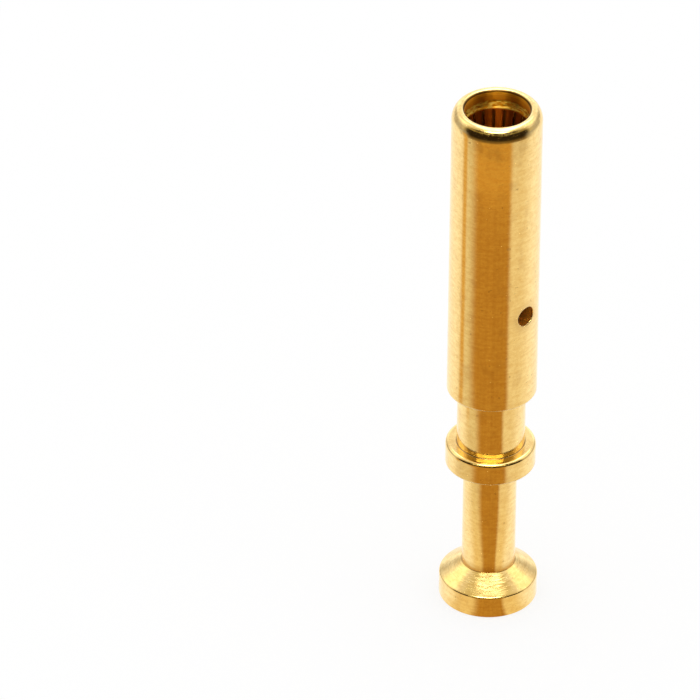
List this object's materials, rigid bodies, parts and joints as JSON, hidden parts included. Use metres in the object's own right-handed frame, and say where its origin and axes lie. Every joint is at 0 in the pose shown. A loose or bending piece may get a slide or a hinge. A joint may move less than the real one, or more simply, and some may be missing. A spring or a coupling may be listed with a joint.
{
  "type": "crimp socket contact",
  "caption": "Turned, gold-plated crimp socket contact for a round power connector, with a slotted spring cage in its sleeve, a retaining neck and a flanged crimp barrel.",
  "frame": {"origin": "centre of the wire-entry face, at the bottom of the contact", "axes": "+Z along the contact's axis towards the mouth of the socket, +X the way the vent hole faces"},
  "size_m": [0.0038, 0.0038, 0.0223],
  "materials": {
    "gold_plate": "polished",
    "spring_alloy": "satin"
  },
  "bodies": {
    "root": {"contact_body": "gold_plate", "spring_cage": "spring_alloy"}
  },
  "joints": []
}
